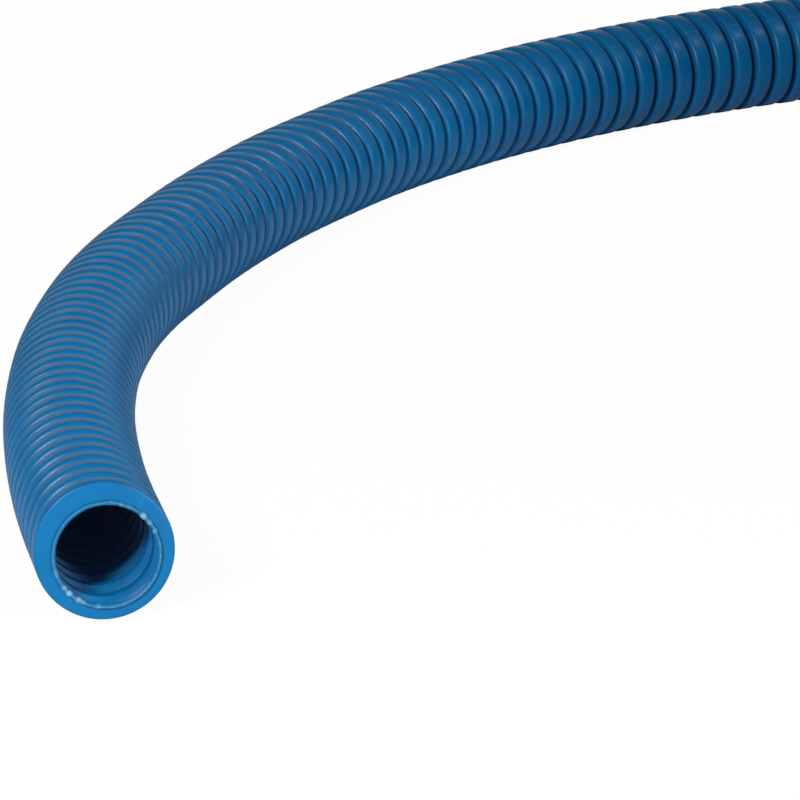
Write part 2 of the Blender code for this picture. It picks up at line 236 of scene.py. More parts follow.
def skinTree():
    # one corrugated skin along a curve: a ring of points for each step of each rib, swept by a circle
    tree = bpy.data.node_groups.new("corrugatedSkin", "GeometryNodeTree")
    face = tree.interface
    face.new_socket("Path", in_out="INPUT", socket_type="NodeSocketGeometry")
    for name in ("Start", "Lead", "Pitch", "Rib width", "Foot", "Flare", "Low radius", "High radius",
                 "End radius"):
        face.new_socket(name, in_out="INPUT", socket_type="NodeSocketFloat")
    for name in ("Ribs", "Steps", "Around"):
        face.new_socket(name, in_out="INPUT", socket_type="NodeSocketInt")
    face.new_socket("Skin", in_out="OUTPUT", socket_type="NodeSocketGeometry")
    given = addNode(tree, "NodeGroupInput").outputs
    # the first and the last point close the skin, the second leads in to the first rib
    perRib = addNode(tree, "ADD", given["Steps"], 1)
    count = addNode(tree, "ADD", addNode(tree, "MULTIPLY", given["Ribs"], perRib), 3)
    dots = addNode(tree, "GeometryNodeMeshLine", {"Offset": (0.001, 0, 0), "Count": count}, mode="OFFSET")
    index = addNode(tree, "GeometryNodeInputIndex")
    inner = addNode(tree, "SUBTRACT", index, 2)
    rib = addNode(tree, "FLOOR", addNode(tree, "DIVIDE", addNode(tree, "ADD", inner, 0.5), perRib))
    step = addNode(tree, "SUBTRACT", inner, addNode(tree, "MULTIPLY", rib, perRib))
    isFirst = addNode(tree, "LESS_THAN", index, 0.5)
    isLead = addNode(tree, "COMPARE", index, 1, 0.5)
    isLast = addNode(tree, "GREATER_THAN", index, addNode(tree, "SUBTRACT", count, 1.5))
    isEnd = addNode(tree, "ADD", isFirst, isLast)
    isFront = addNode(tree, "ADD", isFirst, isLead)
    notEnd = addNode(tree, "SUBTRACT", addNode(tree, "SUBTRACT", 1.0, isEnd), isLead)
    isValley = addNode(tree, "GREATER_THAN", step, addNode(tree, "SUBTRACT", given["Steps"], 0.5))
    onRib = addNode(tree, "SUBTRACT", 1.0, isValley)
    # across a rib, from 1 at its near foot to -1 at its far one
    share = addNode(tree, "DIVIDE", step, addNode(tree, "SUBTRACT", given["Steps"], 1))
    share = addNode(tree, "SUBTRACT", 1.0, addNode(tree, "MULTIPLY", share, 2.0))
    fromTop = addNode(tree, "MINIMUM", addNode(tree, "ABSOLUTE", share), 1.0)
    side = addNode(tree, "MULTIPLY", addNode(tree, "SIGN", share), outlineCurve(tree, fromTop, 0))
    rise = outlineCurve(tree, fromTop, 1)
    flare = addNode(tree, "MULTIPLY", addNode(tree, "SUBTRACT", 1.0, rise), given["Flare"])
    halfRib = addNode(tree, "ADD", addNode(tree, "MULTIPLY", given["Rib width"], 0.5), flare)
    across = addNode(tree, "MULTIPLY", addNode(tree, "MULTIPLY", side, halfRib), -1.0)
    # where each point lies along the path
    halfFoot = addNode(tree, "MULTIPLY", given["Foot"], 0.5)
    toValley = addNode(tree, "MULTIPLY", given["Pitch"], 0.5)
    firstMiddle = addNode(tree, "ADD", given["Start"], halfFoot)
    centre = addNode(tree, "ADD", firstMiddle, addNode(tree, "MULTIPLY", rib, given["Pitch"]))
    where = addNode(tree, "ADD", centre, addNode(tree, "MULTIPLY", toValley, isValley))
    length = addNode(tree, "MULTIPLY", given["Ribs"], given["Pitch"])
    finish = addNode(tree, "ADD", given["Start"], length)
    lead = addNode(tree, "SUBTRACT", given["Start"], given["Lead"])
    where = addNode(tree, "MULTIPLY", where, notEnd)
    where = addNode(tree, "ADD", where, addNode(tree, "MULTIPLY", isFront, lead))
    where = addNode(tree, "ADD", where, addNode(tree, "MULTIPLY", isLast, finish))
    nudge = addNode(tree, "MULTIPLY", addNode(tree, "SUBTRACT", isLast, isFirst), 0.00002)
    shift = addNode(tree, "MULTIPLY", addNode(tree, "MULTIPLY", across, onRib), notEnd)
    shift = addNode(tree, "ADD", shift, nudge)
    # how wide the skin is there
    depth = addNode(tree, "SUBTRACT", given["High radius"], given["Low radius"])
    height = addNode(tree, "MULTIPLY", rise, depth)
    height = addNode(tree, "MULTIPLY", height, addNode(tree, "MULTIPLY", onRib, notEnd))
    closing = addNode(tree, "SUBTRACT", given["End radius"], given["Low radius"])
    radius = addNode(tree, "ADD", given["Low radius"], height)
    radius = addNode(tree, "ADD", radius, addNode(tree, "MULTIPLY", closing, isEnd))
    # the points go to the path, then a circle is swept along them
    sample = addNode(tree, "GeometryNodeSampleCurve", {"Curves": given["Path"], "Length": where},
                     mode="LENGTH").outputs
    along = addNode(tree, "ShaderNodeVectorMath", {0: sample["Tangent"], "Scale": shift}, operation="SCALE")
    spot = addNode(tree, "ShaderNodeVectorMath", sample["Position"], along, operation="ADD")
    distance = addNode(tree, "ADD", where, shift)
    asNumber = {"data_type": "FLOAT", "domain": "POINT"}
    named = addNode(tree, "GeometryNodeStoreNamedAttribute",
                    {"Name": "hoseAlong", "Geometry": dots, "Value": distance}, **asNumber)
    sized = addNode(tree, "GeometryNodeStoreNamedAttribute",
                    {"Name": "hoseRadius", "Geometry": named, "Value": radius}, **asNumber)
    moved = addNode(tree, "GeometryNodeSetPosition", {"Geometry": sized, "Position": spot})
    curve = addNode(tree, "GeometryNodeMeshToCurve", {"Mesh": moved})
    upright = addNode(tree, "GeometryNodeSetCurveNormal", {"Curve": curve}, mode="Z_UP")
    width = addNode(tree, "GeometryNodeInputNamedAttribute", {"Name": "hoseRadius"}, data_type="FLOAT")
    ring = addNode(tree, "GeometryNodeCurvePrimitiveCircle", {"Radius": 1.0, "Resolution": given["Around"]},
                   mode="RADIUS")
    here = addNode(tree, "GeometryNodeInputPosition")
    ring = addNode(tree, "GeometryNodeStoreNamedAttribute",
                   {"Name": "hoseRound", "Geometry": ring, "Value": here},
                   data_type="FLOAT_VECTOR", domain="POINT")
    swept = addNode(tree, "GeometryNodeCurveToMesh", {"Curve": upright, "Profile Curve": ring, "Scale": width})
    addNode(tree, "NodeGroupOutput", swept)
    return tree


def hoseTree(skin, material):
    # the hose wall: an outer and an inner skin that meet at both ends
    tree = bpy.data.node_groups.new("corrugatedHose", "GeometryNodeTree")
    face = tree.interface
    face.new_socket("Path", in_out="INPUT", socket_type="NodeSocketGeometry")
    for name in ("Start", "Lead", "Pitch", "Rib width", "Foot", "Root radius", "Crest radius",
                 "Bore radius", "Wall"):
        face.new_socket(name, in_out="INPUT", socket_type="NodeSocketFloat")
    for name in ("Ribs", "Outer steps", "Inner steps", "Around"):
        face.new_socket(name, in_out="INPUT", socket_type="NodeSocketInt")
    face.new_socket("Hose", in_out="OUTPUT", socket_type="NodeSocketGeometry")
    given = addNode(tree, "NodeGroupInput").outputs
    shared = {key: given[key] for key in ("Path", "Start", "Lead", "Pitch", "Ribs", "Foot", "Around")}
    flare = addNode(tree, "SUBTRACT", given["Foot"], given["Rib width"])
    shared["Flare"] = addNode(tree, "MULTIPLY", flare, 0.5)
    innerWidth = addNode(tree, "SUBTRACT", given["Rib width"], addNode(tree, "MULTIPLY", given["Wall"], 2.0))
    innerCrest = addNode(tree, "SUBTRACT", given["Crest radius"], given["Wall"])
    outer = addNode(tree, "GeometryNodeGroup", {
        **shared, "Rib width": given["Rib width"], "Low radius": given["Root radius"],
        "High radius": given["Crest radius"], "End radius": given["Bore radius"],
        "Steps": given["Outer steps"]}, node_tree=skin)
    inner = addNode(tree, "GeometryNodeGroup", {
        **shared, "Rib width": innerWidth, "Low radius": given["Bore radius"], "High radius": innerCrest,
        "End radius": given["Bore radius"], "Steps": given["Inner steps"]}, node_tree=skin)
    flipped = addNode(tree, "GeometryNodeFlipFaces", {"Mesh": inner})
    both = addNode(tree, "GeometryNodeJoinGeometry", {0: outer})
    tree.links.new(flipped.outputs[0], both.inputs[0])
    welded = addNode(tree, "GeometryNodeMergeByDistance", {"Distance": 0.00001, "Geometry": both})
    real = addNode(tree, "GeometryNodeRealizeInstances", {"Geometry": welded})
    done = addNode(tree, "GeometryNodeSetMaterial", {"Material": material, "Geometry": real})
    addNode(tree, "NodeGroupOutput", done)
    return tree


hoseLook = {
    "deep": "#056eab",
    "fresh": "#0575b1",
    "clouds": 0.045,  # per millimetre, as is the grain
    "grain": 0.9,
    "grainRise": 0.03,  # millimetres
    "roughness": (0.28, 0.38),
    "specular": 0.22,
    "through": "#04070b",  # painted glow: a faint emission over the whole hose, standing in for daylight let in by the thin wall
    "paintedGrooveShade": 0.35,  # painted shade: how far the grooves darken away from the cut end
    "paintedGrooveShadeColour": "#052544",
    "paintedGrooveShadeRadius": (0.0244, 0.02597),  # full below the first, none above the second
    "paintedGrooveShadeAlong": (330.0, 620.0),  # millimetres from the cut end over which it sets in
    "seamTurn": 52.0,  # degrees up from the right, seen at the cut end
    "seamWide": 0.45,  # millimetres
    "seamRise": 0.12,
    "seamPatches": 0.11,  # per millimetre
    "seamColour": "#3d93c8",
    "seamShare": 0.35,
}


def newMaterial(name):
    mat = bpy.data.materials.new(name)
    mat.use_nodes = True
    return mat, mat.node_tree, mat.node_tree.nodes["Principled BSDF"]


def hoseSpace(tree):
    # round and along the hose in millimetres, so that marks lie on the wall and never slide
    around = addNode(tree, "ShaderNodeAttribute", attribute_name="hoseRound").outputs["Vector"]
    along = addNode(tree, "ShaderNodeAttribute", attribute_name="hoseAlong").outputs["Fac"]
    parts = addNode(tree, "ShaderNodeSeparateXYZ", around)
    x = addNode(tree, "MULTIPLY", parts.outputs[0], -1000 * hose["radius"])
    y = addNode(tree, "MULTIPLY", parts.outputs[1], 1000 * hose["radius"])
    z = addNode(tree, "MULTIPLY", along, 1000.0)
    return addNode(tree, "ShaderNodeCombineXYZ", x, y, z), x, y, z


def hoseBlue():
    # soft-sheen blue of blown EVA: cloudy colour, faint rubbed streaks, a mould seam on two sides, painted
    # shade in the grooves away from the cut end and a faint painted glow
    mat, tree, shader = newMaterial("hoseBlueEva")
    look = hoseLook
    ramp, smooth = "ShaderNodeMapRange", {"interpolation_type": "SMOOTHSTEP"}
    space, x, y, z = hoseSpace(tree)
    cloud = addNode(tree, "ShaderNodeTexNoise",
                    {"Scale": look["clouds"], "Detail": 4.0, "Roughness": 0.6, "Vector": space})
    fine = addNode(tree, "ShaderNodeTexNoise", {"Scale": look["grain"], "Detail": 3.0, "Vector": space})
    share = addNode(tree, ramp, cloud, 0.35, 0.65, **smooth)
    colour = addNode(tree, "ShaderNodeMix", {0: share, 6: linear(look["deep"]), 7: linear(look["fresh"])},
                     data_type="RGBA").outputs[2]
    angle = math.radians(look["seamTurn"])
    off = addNode(tree, "SUBTRACT", addNode(tree, "MULTIPLY", x, math.sin(angle)),
                  addNode(tree, "MULTIPLY", y, math.cos(angle)))
    onSeam = addNode(tree, ramp, addNode(tree, "ABSOLUTE", off), 0.0, look["seamWide"], 1.0, 0.0,
                     **smooth)
    patchy = addNode(tree, "ShaderNodeTexNoise", {"Scale": look["seamPatches"], "Detail": 2.0, "W": z},
                     noise_dimensions="1D")
    seam = addNode(tree, "MULTIPLY", onSeam, addNode(tree, ramp, patchy, 0.42, 0.62, **smooth))
    share = addNode(tree, "MULTIPLY", seam, look["seamShare"])
    colour = addNode(tree, "ShaderNodeMix", {0: share, 6: colour, 7: linear(look["seamColour"])},
                     data_type="RGBA").outputs[2]
    # painted shade: the grooves and flanks are mixed towards a dark blue, setting in away from the cut end
    radius = addNode(tree, "ShaderNodeAttribute", attribute_name="hoseRadius").outputs["Fac"]
    inGroove = addNode(tree, ramp, radius, *look["paintedGrooveShadeRadius"], look["paintedGrooveShade"], 0.0, **smooth)
    paintedGrooveShade = addNode(tree, "MULTIPLY", inGroove, addNode(tree, ramp, z, *look["paintedGrooveShadeAlong"], **smooth))
    colour = addNode(tree, "ShaderNodeMix", {0: paintedGrooveShade, 6: colour, 7: linear(look["paintedGrooveShadeColour"])},
                     data_type="RGBA").outputs[2]
    rough = addNode(tree, ramp, fine, 0.3, 0.7, *look["roughness"])
    height = addNode(tree, "ADD", addNode(tree, "MULTIPLY", seam, look["seamRise"]),
                     addNode(tree, "MULTIPLY", fine, look["grainRise"]))
    bump = addNode(tree, "ShaderNodeBump", {"Strength": 1.0, "Distance": 0.001, "Height": height})
    # the emission is a painted glow that lifts the hose's darkest parts
    feed(tree, shader, {
        "Base Color": colour, "Roughness": rough, "Normal": bump, "Specular IOR Level": look["specular"],
        "Emission Color": linear(look["through"]), "Emission Strength": 1.0})
    return mat


def hosePiece(name, tree, firstRib, ribs, outerSteps, innerSteps, around, lead=0.0):
    start = hose["lip"] + firstRib * hose["pitch"]
    end = start + ribs * hose["pitch"]
    data = bpy.data.curves.new(name + "Line", "CURVE")
    data.dimensions = "3D"
    spline = data.splines.new("POLY")
    spline.points.add(len(line.points) - 1)
    for dot, point in zip(spline.points, line.points):
        dot.co = (*point, 1)
    source = bpy.data.objects.new(name + "Line", data)
    bpy.context.scene.collection.objects.link(source)
    mod = source.modifiers.new("hose", "NODES")
    mod.node_group = tree
    sizes = {
        "Start": start, "Lead": lead, "Pitch": hose["pitch"], "Rib width": hose["crest"],
        "Foot": hose["foot"], "Root radius": hose["root"], "Crest radius": hose["radius"],
        "Bore radius": hose["bore"], "Wall": hose["wall"], "Ribs": ribs, "Outer steps": outerSteps,
        "Inner steps": innerSteps, "Around": around,
    }
    for item in tree.interface.items_tree:
        if item.in_out == "INPUT" and item.name in sizes:
            mod[item.identifier] = sizes[item.name]
    source.update_tag()
    bpy.context.view_layer.update()
    seen = source.evaluated_get(bpy.context.evaluated_depsgraph_get())
    mesh = bpy.data.meshes.new_from_object(seen)
    mesh.name = name
    bpy.data.objects.remove(source, do_unlink=True)
    piece = bpy.data.objects.new(name, mesh)
    bpy.context.scene.collection.objects.link(piece)
    mesh.shade_smooth()
    mesh.set_sharp_from_angle(angle=math.radians(50))
    print(name, "faces", len(mesh.polygons), "from", round(start, 3), "to", round(end, 3))
    return piece, start, end


blue = hoseBlue()
tree = hoseTree(skinTree(), blue)
freeRibs, middleRibs = hose["freeRibs"], hose["middleRibs"]
lead = hose["lip"] - 0.0006  # the skins stop just behind the face of the rim
freeEnd, freeStart, freeStop = hosePiece("freeEndHose", tree, 0, freeRibs, 13, 7, 72, lead)
middle, middleStart, middleStop = hosePiece("middleHose", tree, freeRibs, middleRibs, 13, 3, 64)
firstStored = freeRibs + middleRibs
ribsLeft = int((line.length - middleStop) / hose["pitch"])
lowerRibs, upperRibs = ribsLeft // 2, ribsLeft - ribsLeft // 2
lower, lowerStart, lowerStop = hosePiece("lowerTurns", tree, firstStored, lowerRibs, 5, 2, 34)
upper, upperStart, upperStop = hosePiece("upperTurns", tree, firstStored + lowerRibs, upperRibs, 5, 2, 34)

tuple(line.at(0.09))
tuple(line.at(0.33))
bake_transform(freeEnd)
tuple(line.at(0.52))
tuple(line.at(0.76))
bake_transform(middle)
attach(lower, "stored_length")
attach(upper, "stored_length")
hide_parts("hose_mouth", "hose_end_run", "hose_lift_bend")
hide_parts("hose_middle_run", "hose_sweep_bend", "hose_lead_run")
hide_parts("hose_coil")
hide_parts("hose_tail_run")
tuple(line.at(upperStop))
[tuple(p) for p in reversed(line.between(upperStart, upperStop))]
tuple(line.at(lowerStop))
[tuple(p) for p in reversed(line.between(lowerStart, lowerStop))]
tuple(line.at(middleStop))
[tuple(p) for p in reversed(line.between(middleStart, middleStop))]
tuple(line.at(freeStop))
[tuple(p) for p in reversed(line.between(freeStart, freeStop))]
print("hose made")

cutEdge = {
    "inner": 0.01880,
    "outer": 0.02050,
    "back": 0.0011,
    "segments": 240,
    "ragged": 0.00022,
    "burr": 0.0006,  # how far the crumbs stand out
    "bevel": (0.0003, 0.0004, 0.0005),  # inner corner across and deep, outer corner deep
    "ridge": (0.0198, 0.00014, 0.00010),  # radius, half width and rise of the raised line, which is painted pale as a highlight
    "lean": (0.0007, -0.00125),  # the cut pulled the bore off centre: right, up
    "leanDepth": 0.030,
    "flatDepth": 0.003,  # the cut face is flatter than the ribs behind it
    "flatten": 0.65,
    "colour": "#0a6fa6",
    # pale crumbs, and the painted highlight on the raised line
    "pale": "#8fcde6",
}


def leanOf(distance):
    fade = 1 - ease(distance / cutEdge["leanDepth"])
    right, up = cutEdge["lean"]
    ahead = line.heading(max(distance, 0.02))
    return (Vector((ahead.y, -ahead.x, 0)) * right + Vector((0, 0, up))) * fade


def leanBore(piece):
    # crests stay round, the bore and the grooves near the cut move with the lip
    for vert, along in zip(piece.data.vertices, piece.data.attributes["hoseAlong"].data):
        if along.value < cutEdge["leanDepth"]:
            middle = line.at(max(along.value, 0.0))
            share = (hose["radius"] - (vert.co - middle).length) / (hose["radius"] - hose["bore"])
            vert.co += leanOf(along.value) * min(max(share, 0.0), 1.0)
        past = along.value - hose["lip"]
        if 0 < past < cutEdge["flatDepth"]:
            vert.co -= line.heading(0.02) * past * cutEdge["flatten"]


leanBore(freeEnd)


def newPiece(name, bm, material, sharp=40):
    bmesh.ops.recalc_face_normals(bm, faces=bm.faces)
    mesh = bpy.data.meshes.new(name)
    bm.to_mesh(mesh)
    bm.free()
    mesh.shade_smooth()
    mesh.set_sharp_from_angle(angle=math.radians(sharp))
    mesh.materials.append(material)
    piece = bpy.data.objects.new(name, mesh)
    bpy.context.scene.collection.objects.link(piece)
    return piece


def joinRings(bm, rings, closed=True):
    for a, b in zip(rings, rings[1:] + (rings[:1] if closed else [])):
        for k in range(len(a)):
            n = (k + 1) % len(a)
            bm.faces.new((a[k], b[k], b[n], a[n]))


def cutLip():
    # the sawn edge of the wall: a thin rough rim with crumbs where the mould seams cross it, and a raised line
    # painted pale as a highlight
    rim = cutEdge
    cornerIn, deepIn, deepOut = rim["bevel"]
    ridgeRadius, ridgeHalf, ridgeRise = rim["ridge"]
    ahead = line.heading(0.02)
    side = Vector((ahead.y, -ahead.x, 0))
    seamAngle = math.radians(hoseLook["seamTurn"])
    bm = bmesh.new()
    pale = bm.verts.layers.float.new("lipPaleAndHighlight")
    rings = []
    for k in range(rim["segments"]):
        angle = 2 * math.pi * k / rim["segments"]
        out = math.cos(angle) * side + Vector((0, 0, math.sin(angle)))
        spot = Vector((math.cos(angle), math.sin(angle), 0))
        nearSeam = abs(math.cos(angle - seamAngle)) ** 6
        # the numbers beside spot are waves round the rim, coarse and fine
        rough = noise.noise(spot * 14 + Vector((3, 1, 7))) * 0.6 + noise.noise(spot * 41) * 0.4
        crumb = max(0.0, noise.noise(spot * 9 + Vector((0, 0, 5))) + 0.1) * nearSeam
        front = rough * rim["ragged"] - crumb * rim["burr"]
        worn = noise.noise(spot * 22 + Vector((9, 0, 0)))
        inner = rim["inner"] + worn * rim["ragged"] * 0.5 - crumb * 0.0004
        outer = rim["outer"] + crumb * rim["burr"] * 0.7 + rough * rim["ragged"] * 0.4
        ridge = ridgeRadius + noise.noise(spot * 5) * 0.0003
        shape = [(inner, rim["back"]), (inner, front + deepIn), (inner + cornerIn, front),
                 (ridge - ridgeHalf, front), (ridge, front - ridgeRise), (ridge + ridgeHalf, front),
                 (outer, front + deepOut), (outer, rim["back"])]
        rings.append([bm.verts.new(line.at(0) + leanOf(0) + ahead * s + out * r) for r, s in shape])
        for vert in rings[-1]:
            vert[pale] = min(crumb * 1.6, 0.8)
        rings[-1][4][pale] = 0.75 + 0.6 * noise.noise(spot * 9)  # the raised line, painted pale as a highlight
    joinRings(bm, rings)
    return newPiece("cutLip", bm, cutBlue(), 60)


def cutBlue():
    # stressed pale plastic where the blade cut it, and a painted highlight on the raised line
    mat, tree, shader = newMaterial("cutEdgePaleAndHighlight")
    where = addNode(tree, "ShaderNodeTexCoord").outputs["Object"]
    grain = addNode(tree, "ShaderNodeTexNoise", {"Scale": 900.0, "Detail": 3.0, "Vector": where})
    pale = addNode(tree, "ShaderNodeAttribute", attribute_name="lipPaleAndHighlight").outputs["Fac"]
    patchy = addNode(tree, "ShaderNodeMapRange", grain, 0.35, 0.6, 0.6, 1.0,
                     interpolation_type="SMOOTHSTEP")
    amount = addNode(tree, "MULTIPLY", pale, patchy)
    colour = addNode(tree, "ShaderNodeMix",
                     {0: amount, 6: linear(cutEdge["colour"]), 7: linear(cutEdge["pale"])},
                     data_type="RGBA").outputs[2]
    bump = addNode(tree, "ShaderNodeBump", {"Strength": 0.5, "Distance": 0.0001, "Height": grain})
    feed(tree, shader, {"Base Color": colour, "Roughness": 0.45, "Specular IOR Level": 0.3,
                        "Normal": bump})
    return mat


lip = cutLip()
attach(lip, "free_end")
print("cut edge made")

# far end: a collar, and a fluted cuff that turns on it, measured from the end of the hose
cuff = {
    "collarRadius": 0.0290,
    "collarBore": 0.0264,
    "collarBack": -0.030,
    "shoulder": 0.0045,
    "journal": 0.0230,
    "journalEnd": 0.0170,
    "groove": (0.0216, 0.0124, 0.0146),  # radius, back, front
    "socket": 0.0192,
    "hubRadius": 0.0286,
    "hubFlute": 0.0274,
    "hubBack": 0.0063,
    "hubFront": 0.0300,
    "socketOuter": 0.0226,
    "front": 0.0780,
    "running": 0.0003,  # clearance on the journal
    "inside": 0.0030,  # from the journal's end to the socket's floor
    "pocket": (0.0250, 0.0122, 0.0148),  # for the split ring: radius, back, front
    "gripRings": 3,
    "gripFirst": 0.006,
    "gripPitch": 0.007,
    "gripDepth": 0.0006,
    "flutes": 12,
    "segments": 192,
}


def softCorners(profile, radius, steps=3):
    # rounds every corner of a closed outline
    done = []
    for before, here, after in zip(profile[-1:] + profile[:-1], profile, profile[1:] + profile[:1]):
        here, before, after = Vector(here), Vector(before), Vector(after)
        cut = min(radius, (before - here).length * 0.4, (after - here).length * 0.4)
        a = here + (before - here).normalized() * cut
        b = here + (after - here).normalized() * cut
        for k in range(steps + 1):
            t = k / steps
            done.append(a.lerp(here, t).lerp(here.lerp(b, t), t))
    return done


def turned(name, profile, material, radiusAt=None):
    # a solid of revolution about the cuff's axis from a closed outline of radius and distance
    bm = bmesh.new()
    end = line.at(line.length)
    rings = []
    for k in range(cuff["segments"]):
        angle = 2 * math.pi * k / cuff["segments"]
        ring = []
        for r, s in profile:
            r = radiusAt(r, s, angle) if radiusAt else r
            ring.append(bm.verts.new(end + Vector((r * math.cos(angle), -s, r * math.sin(angle)))))
        rings.append(ring)
    joinRings(bm, rings)
    return newPiece(name, bm, material)


def collarPiece(material):
    c = cuff
    low, back, front = c["groove"]
    outer = [(c["collarBore"], c["collarBack"]), (c["collarRadius"], c["collarBack"])]
    deep = c["gripDepth"]
    for k in range(c["gripRings"]):
        s = c["collarBack"] + c["gripFirst"] + c["gripPitch"] * k
        outer += [(c["collarRadius"], s), (c["collarRadius"] - deep, s + deep),
                  (c["collarRadius"] - deep, s + 4 * deep), (c["collarRadius"], s + 5 * deep)]
    outer += [(c["collarRadius"], c["shoulder"]), (c["journal"], c["shoulder"]), (c["journal"], back),
              (low, back), (low, front), (c["journal"], front), (c["journal"], c["journalEnd"]),
              (c["socket"], c["journalEnd"]), (c["socket"], 0.0003), (c["collarBore"], 0.0003)]
    return turned("cuffCollar", softCorners(outer, 0.0008), material)


def cuffPiece(material):
    c = cuff
    running = c["journal"] + c["running"]
    inside = c["journalEnd"] + c["inside"]
    deep, back, front = c["pocket"]
    profile = [
        (running, c["hubBack"]), (c["hubRadius"], c["hubBack"]), (c["hubRadius"], c["hubFront"] - 0.001),
        (c["socketOuter"] + 0.001, c["hubFront"] + 0.003), (c["socketOuter"], c["hubFront"] + 0.008),
        (c["socketOuter"] - 0.0002, c["front"] - 0.008), (c["socketOuter"] + 0.0004, c["front"] - 0.007),
        (c["socketOuter"] + 0.0004, c["front"]), (c["socket"], c["front"]), (c["socket"], inside),
        (running, inside), (running, front), (deep, front), (deep, back), (running, back),
    ]
    start, stop = c["hubBack"] + 0.0018, c["hubFront"] - 0.0022

    def fluted(r, s, angle):
        if r < c["hubFlute"]:
            return r
        wave = ease(0.5 + 1.6 * math.cos(angle * c["flutes"]))
        fade = ease((s - start) / 0.002) * ease((stop - s) / 0.002)
        return r - (c["hubRadius"] - c["hubFlute"]) * wave * fade

    fine = []
    outline = softCorners(profile, 0.0010)
    for a, b in zip(outline, outline[1:] + outline[:1]):
        count = max(1, math.ceil((b - a).length / 0.0012)) if min(a.x, b.x) > c["hubFlute"] else 1
        fine += [a.lerp(b, k / count) for k in range(count)]
    return turned("swivelCuff", fine, material, fluted)


def speckled(name, dark, light, roughness, scale, depth, specular=0.5, metallic=0.0):
    # two near colours in a wide grain, and a fine one of scale per metre that is raised by depth
    mat, tree, shader = newMaterial(name)
    where = addNode(tree, "ShaderNodeTexCoord").outputs["Object"]
    grain = addNode(tree, "ShaderNodeTexNoise", {"Scale": scale, "Detail": 4.0, "Vector": where})
    wide = addNode(tree, "ShaderNodeTexNoise", {"Scale": scale / 30, "Detail": 3.0, "Vector": where})
    share = addNode(tree, "ShaderNodeMapRange", wide, 0.35, 0.65, interpolation_type="SMOOTHSTEP")
    colour = addNode(tree, "ShaderNodeMix", {0: share, 6: linear(dark), 7: linear(light)},
                     data_type="RGBA").outputs[2]
    rough = addNode(tree, "ShaderNodeMapRange", grain, 0.3, 0.7, roughness - 0.06, roughness + 0.06)
    bump = addNode(tree, "ShaderNodeBump", {"Strength": 0.5, "Distance": depth, "Height": grain})
    feed(tree, shader, {"Base Color": colour, "Roughness": rough, "Specular IOR Level": specular,
                        "Metallic": metallic, "Normal": bump})
    return mat


# moulded plastic off a spark-eroded tool: fine grained, satin
satin = speckled("cuffSatinPlastic", "#16273a", "#1b2f45", 0.42, 1400.0, 0.00006, 0.4)
collar = collarPiece(satin)
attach(collar, "stored_length")
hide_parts("cuff_insert")
turningCuff = cuffPiece(satin)
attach(turningCuff, "end_cuff")
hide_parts("swivel_cuff")
# a waxy off-white washer, a dull black seal, a bright drawn ring
acetal = speckled("washerAcetal", "#dcdcd4", "#e6e6df", 0.35, 900.0, 0.00002)
rubber = speckled("sealRubber", "#121212", "#1a1a1a", 0.72, 1800.0, 0.00005, 0.3)
steel = speckled("ringSpringSteel", "#b4b6b8", "#c6c8ca", 0.26, 2600.0, 0.00001, 0.5, 1.0)
smallParts = {"cuff_thrust_washer": acetal, "cuff_seal": rubber, "cuff_retaining_ring": steel}
for node, finish in smallParts.items():
    bpy.data.objects[node].data.materials.clear()
    bpy.data.objects[node].data.materials.append(finish)
print("cuff made")

# webbing ties round the coil, each drawn tight on the lengths it holds and closed on a flat loop
tie = {
    "turns": (0.10, 0.46, 0.68),
    "width": 0.0365,
    "thick": 0.0016,
    "gap": 0.0003,
    "overlap": 0.024,
    "bar": 0.0020,
    "loopOut": 0.0130,  # half the loop, to the middle of its bars
    "loopSide": 0.0210,
    "loopCorner": 0.0035,
    "step": 0.0008,  # between points of the band's line
    "mouth": 0.0195,  # half of what the band leaves open under the loop
    "weave": (1.15, 1.7),  # millimetres along and across
    "stitched": (0.002, 0.019),  # from the webbing's end
    "stitchRows": (0.0035, 0.0175),  # across it
    "stitchSides": 0.0150,  # along it, from its middle
    "stitchHalf": 0.0004,
    "stitchesPerMetre": 340.0,
    "thread": "#1d1f22",
    "shadow": "#0b0c0d",
    "stitch": "#595c60",
}


def strandsAt(turn):
    # middles of the hose's lengths that pass under a tie, as outward and up
    found = []
    for away in (-0.0103, 0.0, 0.0103):
        for lap in range(4):
            if turn + lap <= hose["coilTurns"]:
                spot = coilPoint(turn + lap + away)
                cx, cy = hose["coilCentre"]
                found.append(Vector((math.hypot(spot.x - cx, spot.y - cy) - hose["coilRadius"], spot.z)))
    return found


def hullOf(points):
    points = sorted({(round(p[0], 7), round(p[1], 7)) for p in points})

    def half(order):
        kept = []
        for p in order:
            while len(kept) > 1 and ((kept[-1][0] - kept[-2][0]) * (p[1] - kept[-2][1])
                                     - (kept[-1][1] - kept[-2][1]) * (p[0] - kept[-2][0])) <= 0:
                kept.pop()
            kept.append(p)
        return kept[:-1]

    return [Vector(p) for p in half(points) + half(points[::-1])]


def evenly(points, step):
    done, left = [points[0]], step
    for a, b in zip(points, points[1:]):
        far = (b - a).length
        while far >= left:
            a = a.lerp(b, left / far)
            far -= left
            left = step
            done.append(a)
        left -= far
    return done


def seatOf(strands):
    # where the loop sits: on the two top lengths, or on the one that stands highest
    middle = strands[len(strands) // 3:2 * len(strands) // 3]
    tops = sorted(middle, key=lambda p: -p.y)[:2]
    if tops[0].y - tops[1].y > 0.03:
        return tops[0] + Vector((0, hose["radius"])), Vector((1, 0))
    tops.sort(key=lambda p: p.x)
    slope = (tops[1] - tops[0]).normalized()
    return (tops[0] + tops[1]) / 2 + Vector((-slope.y, slope.x)) * hose["radius"], slope


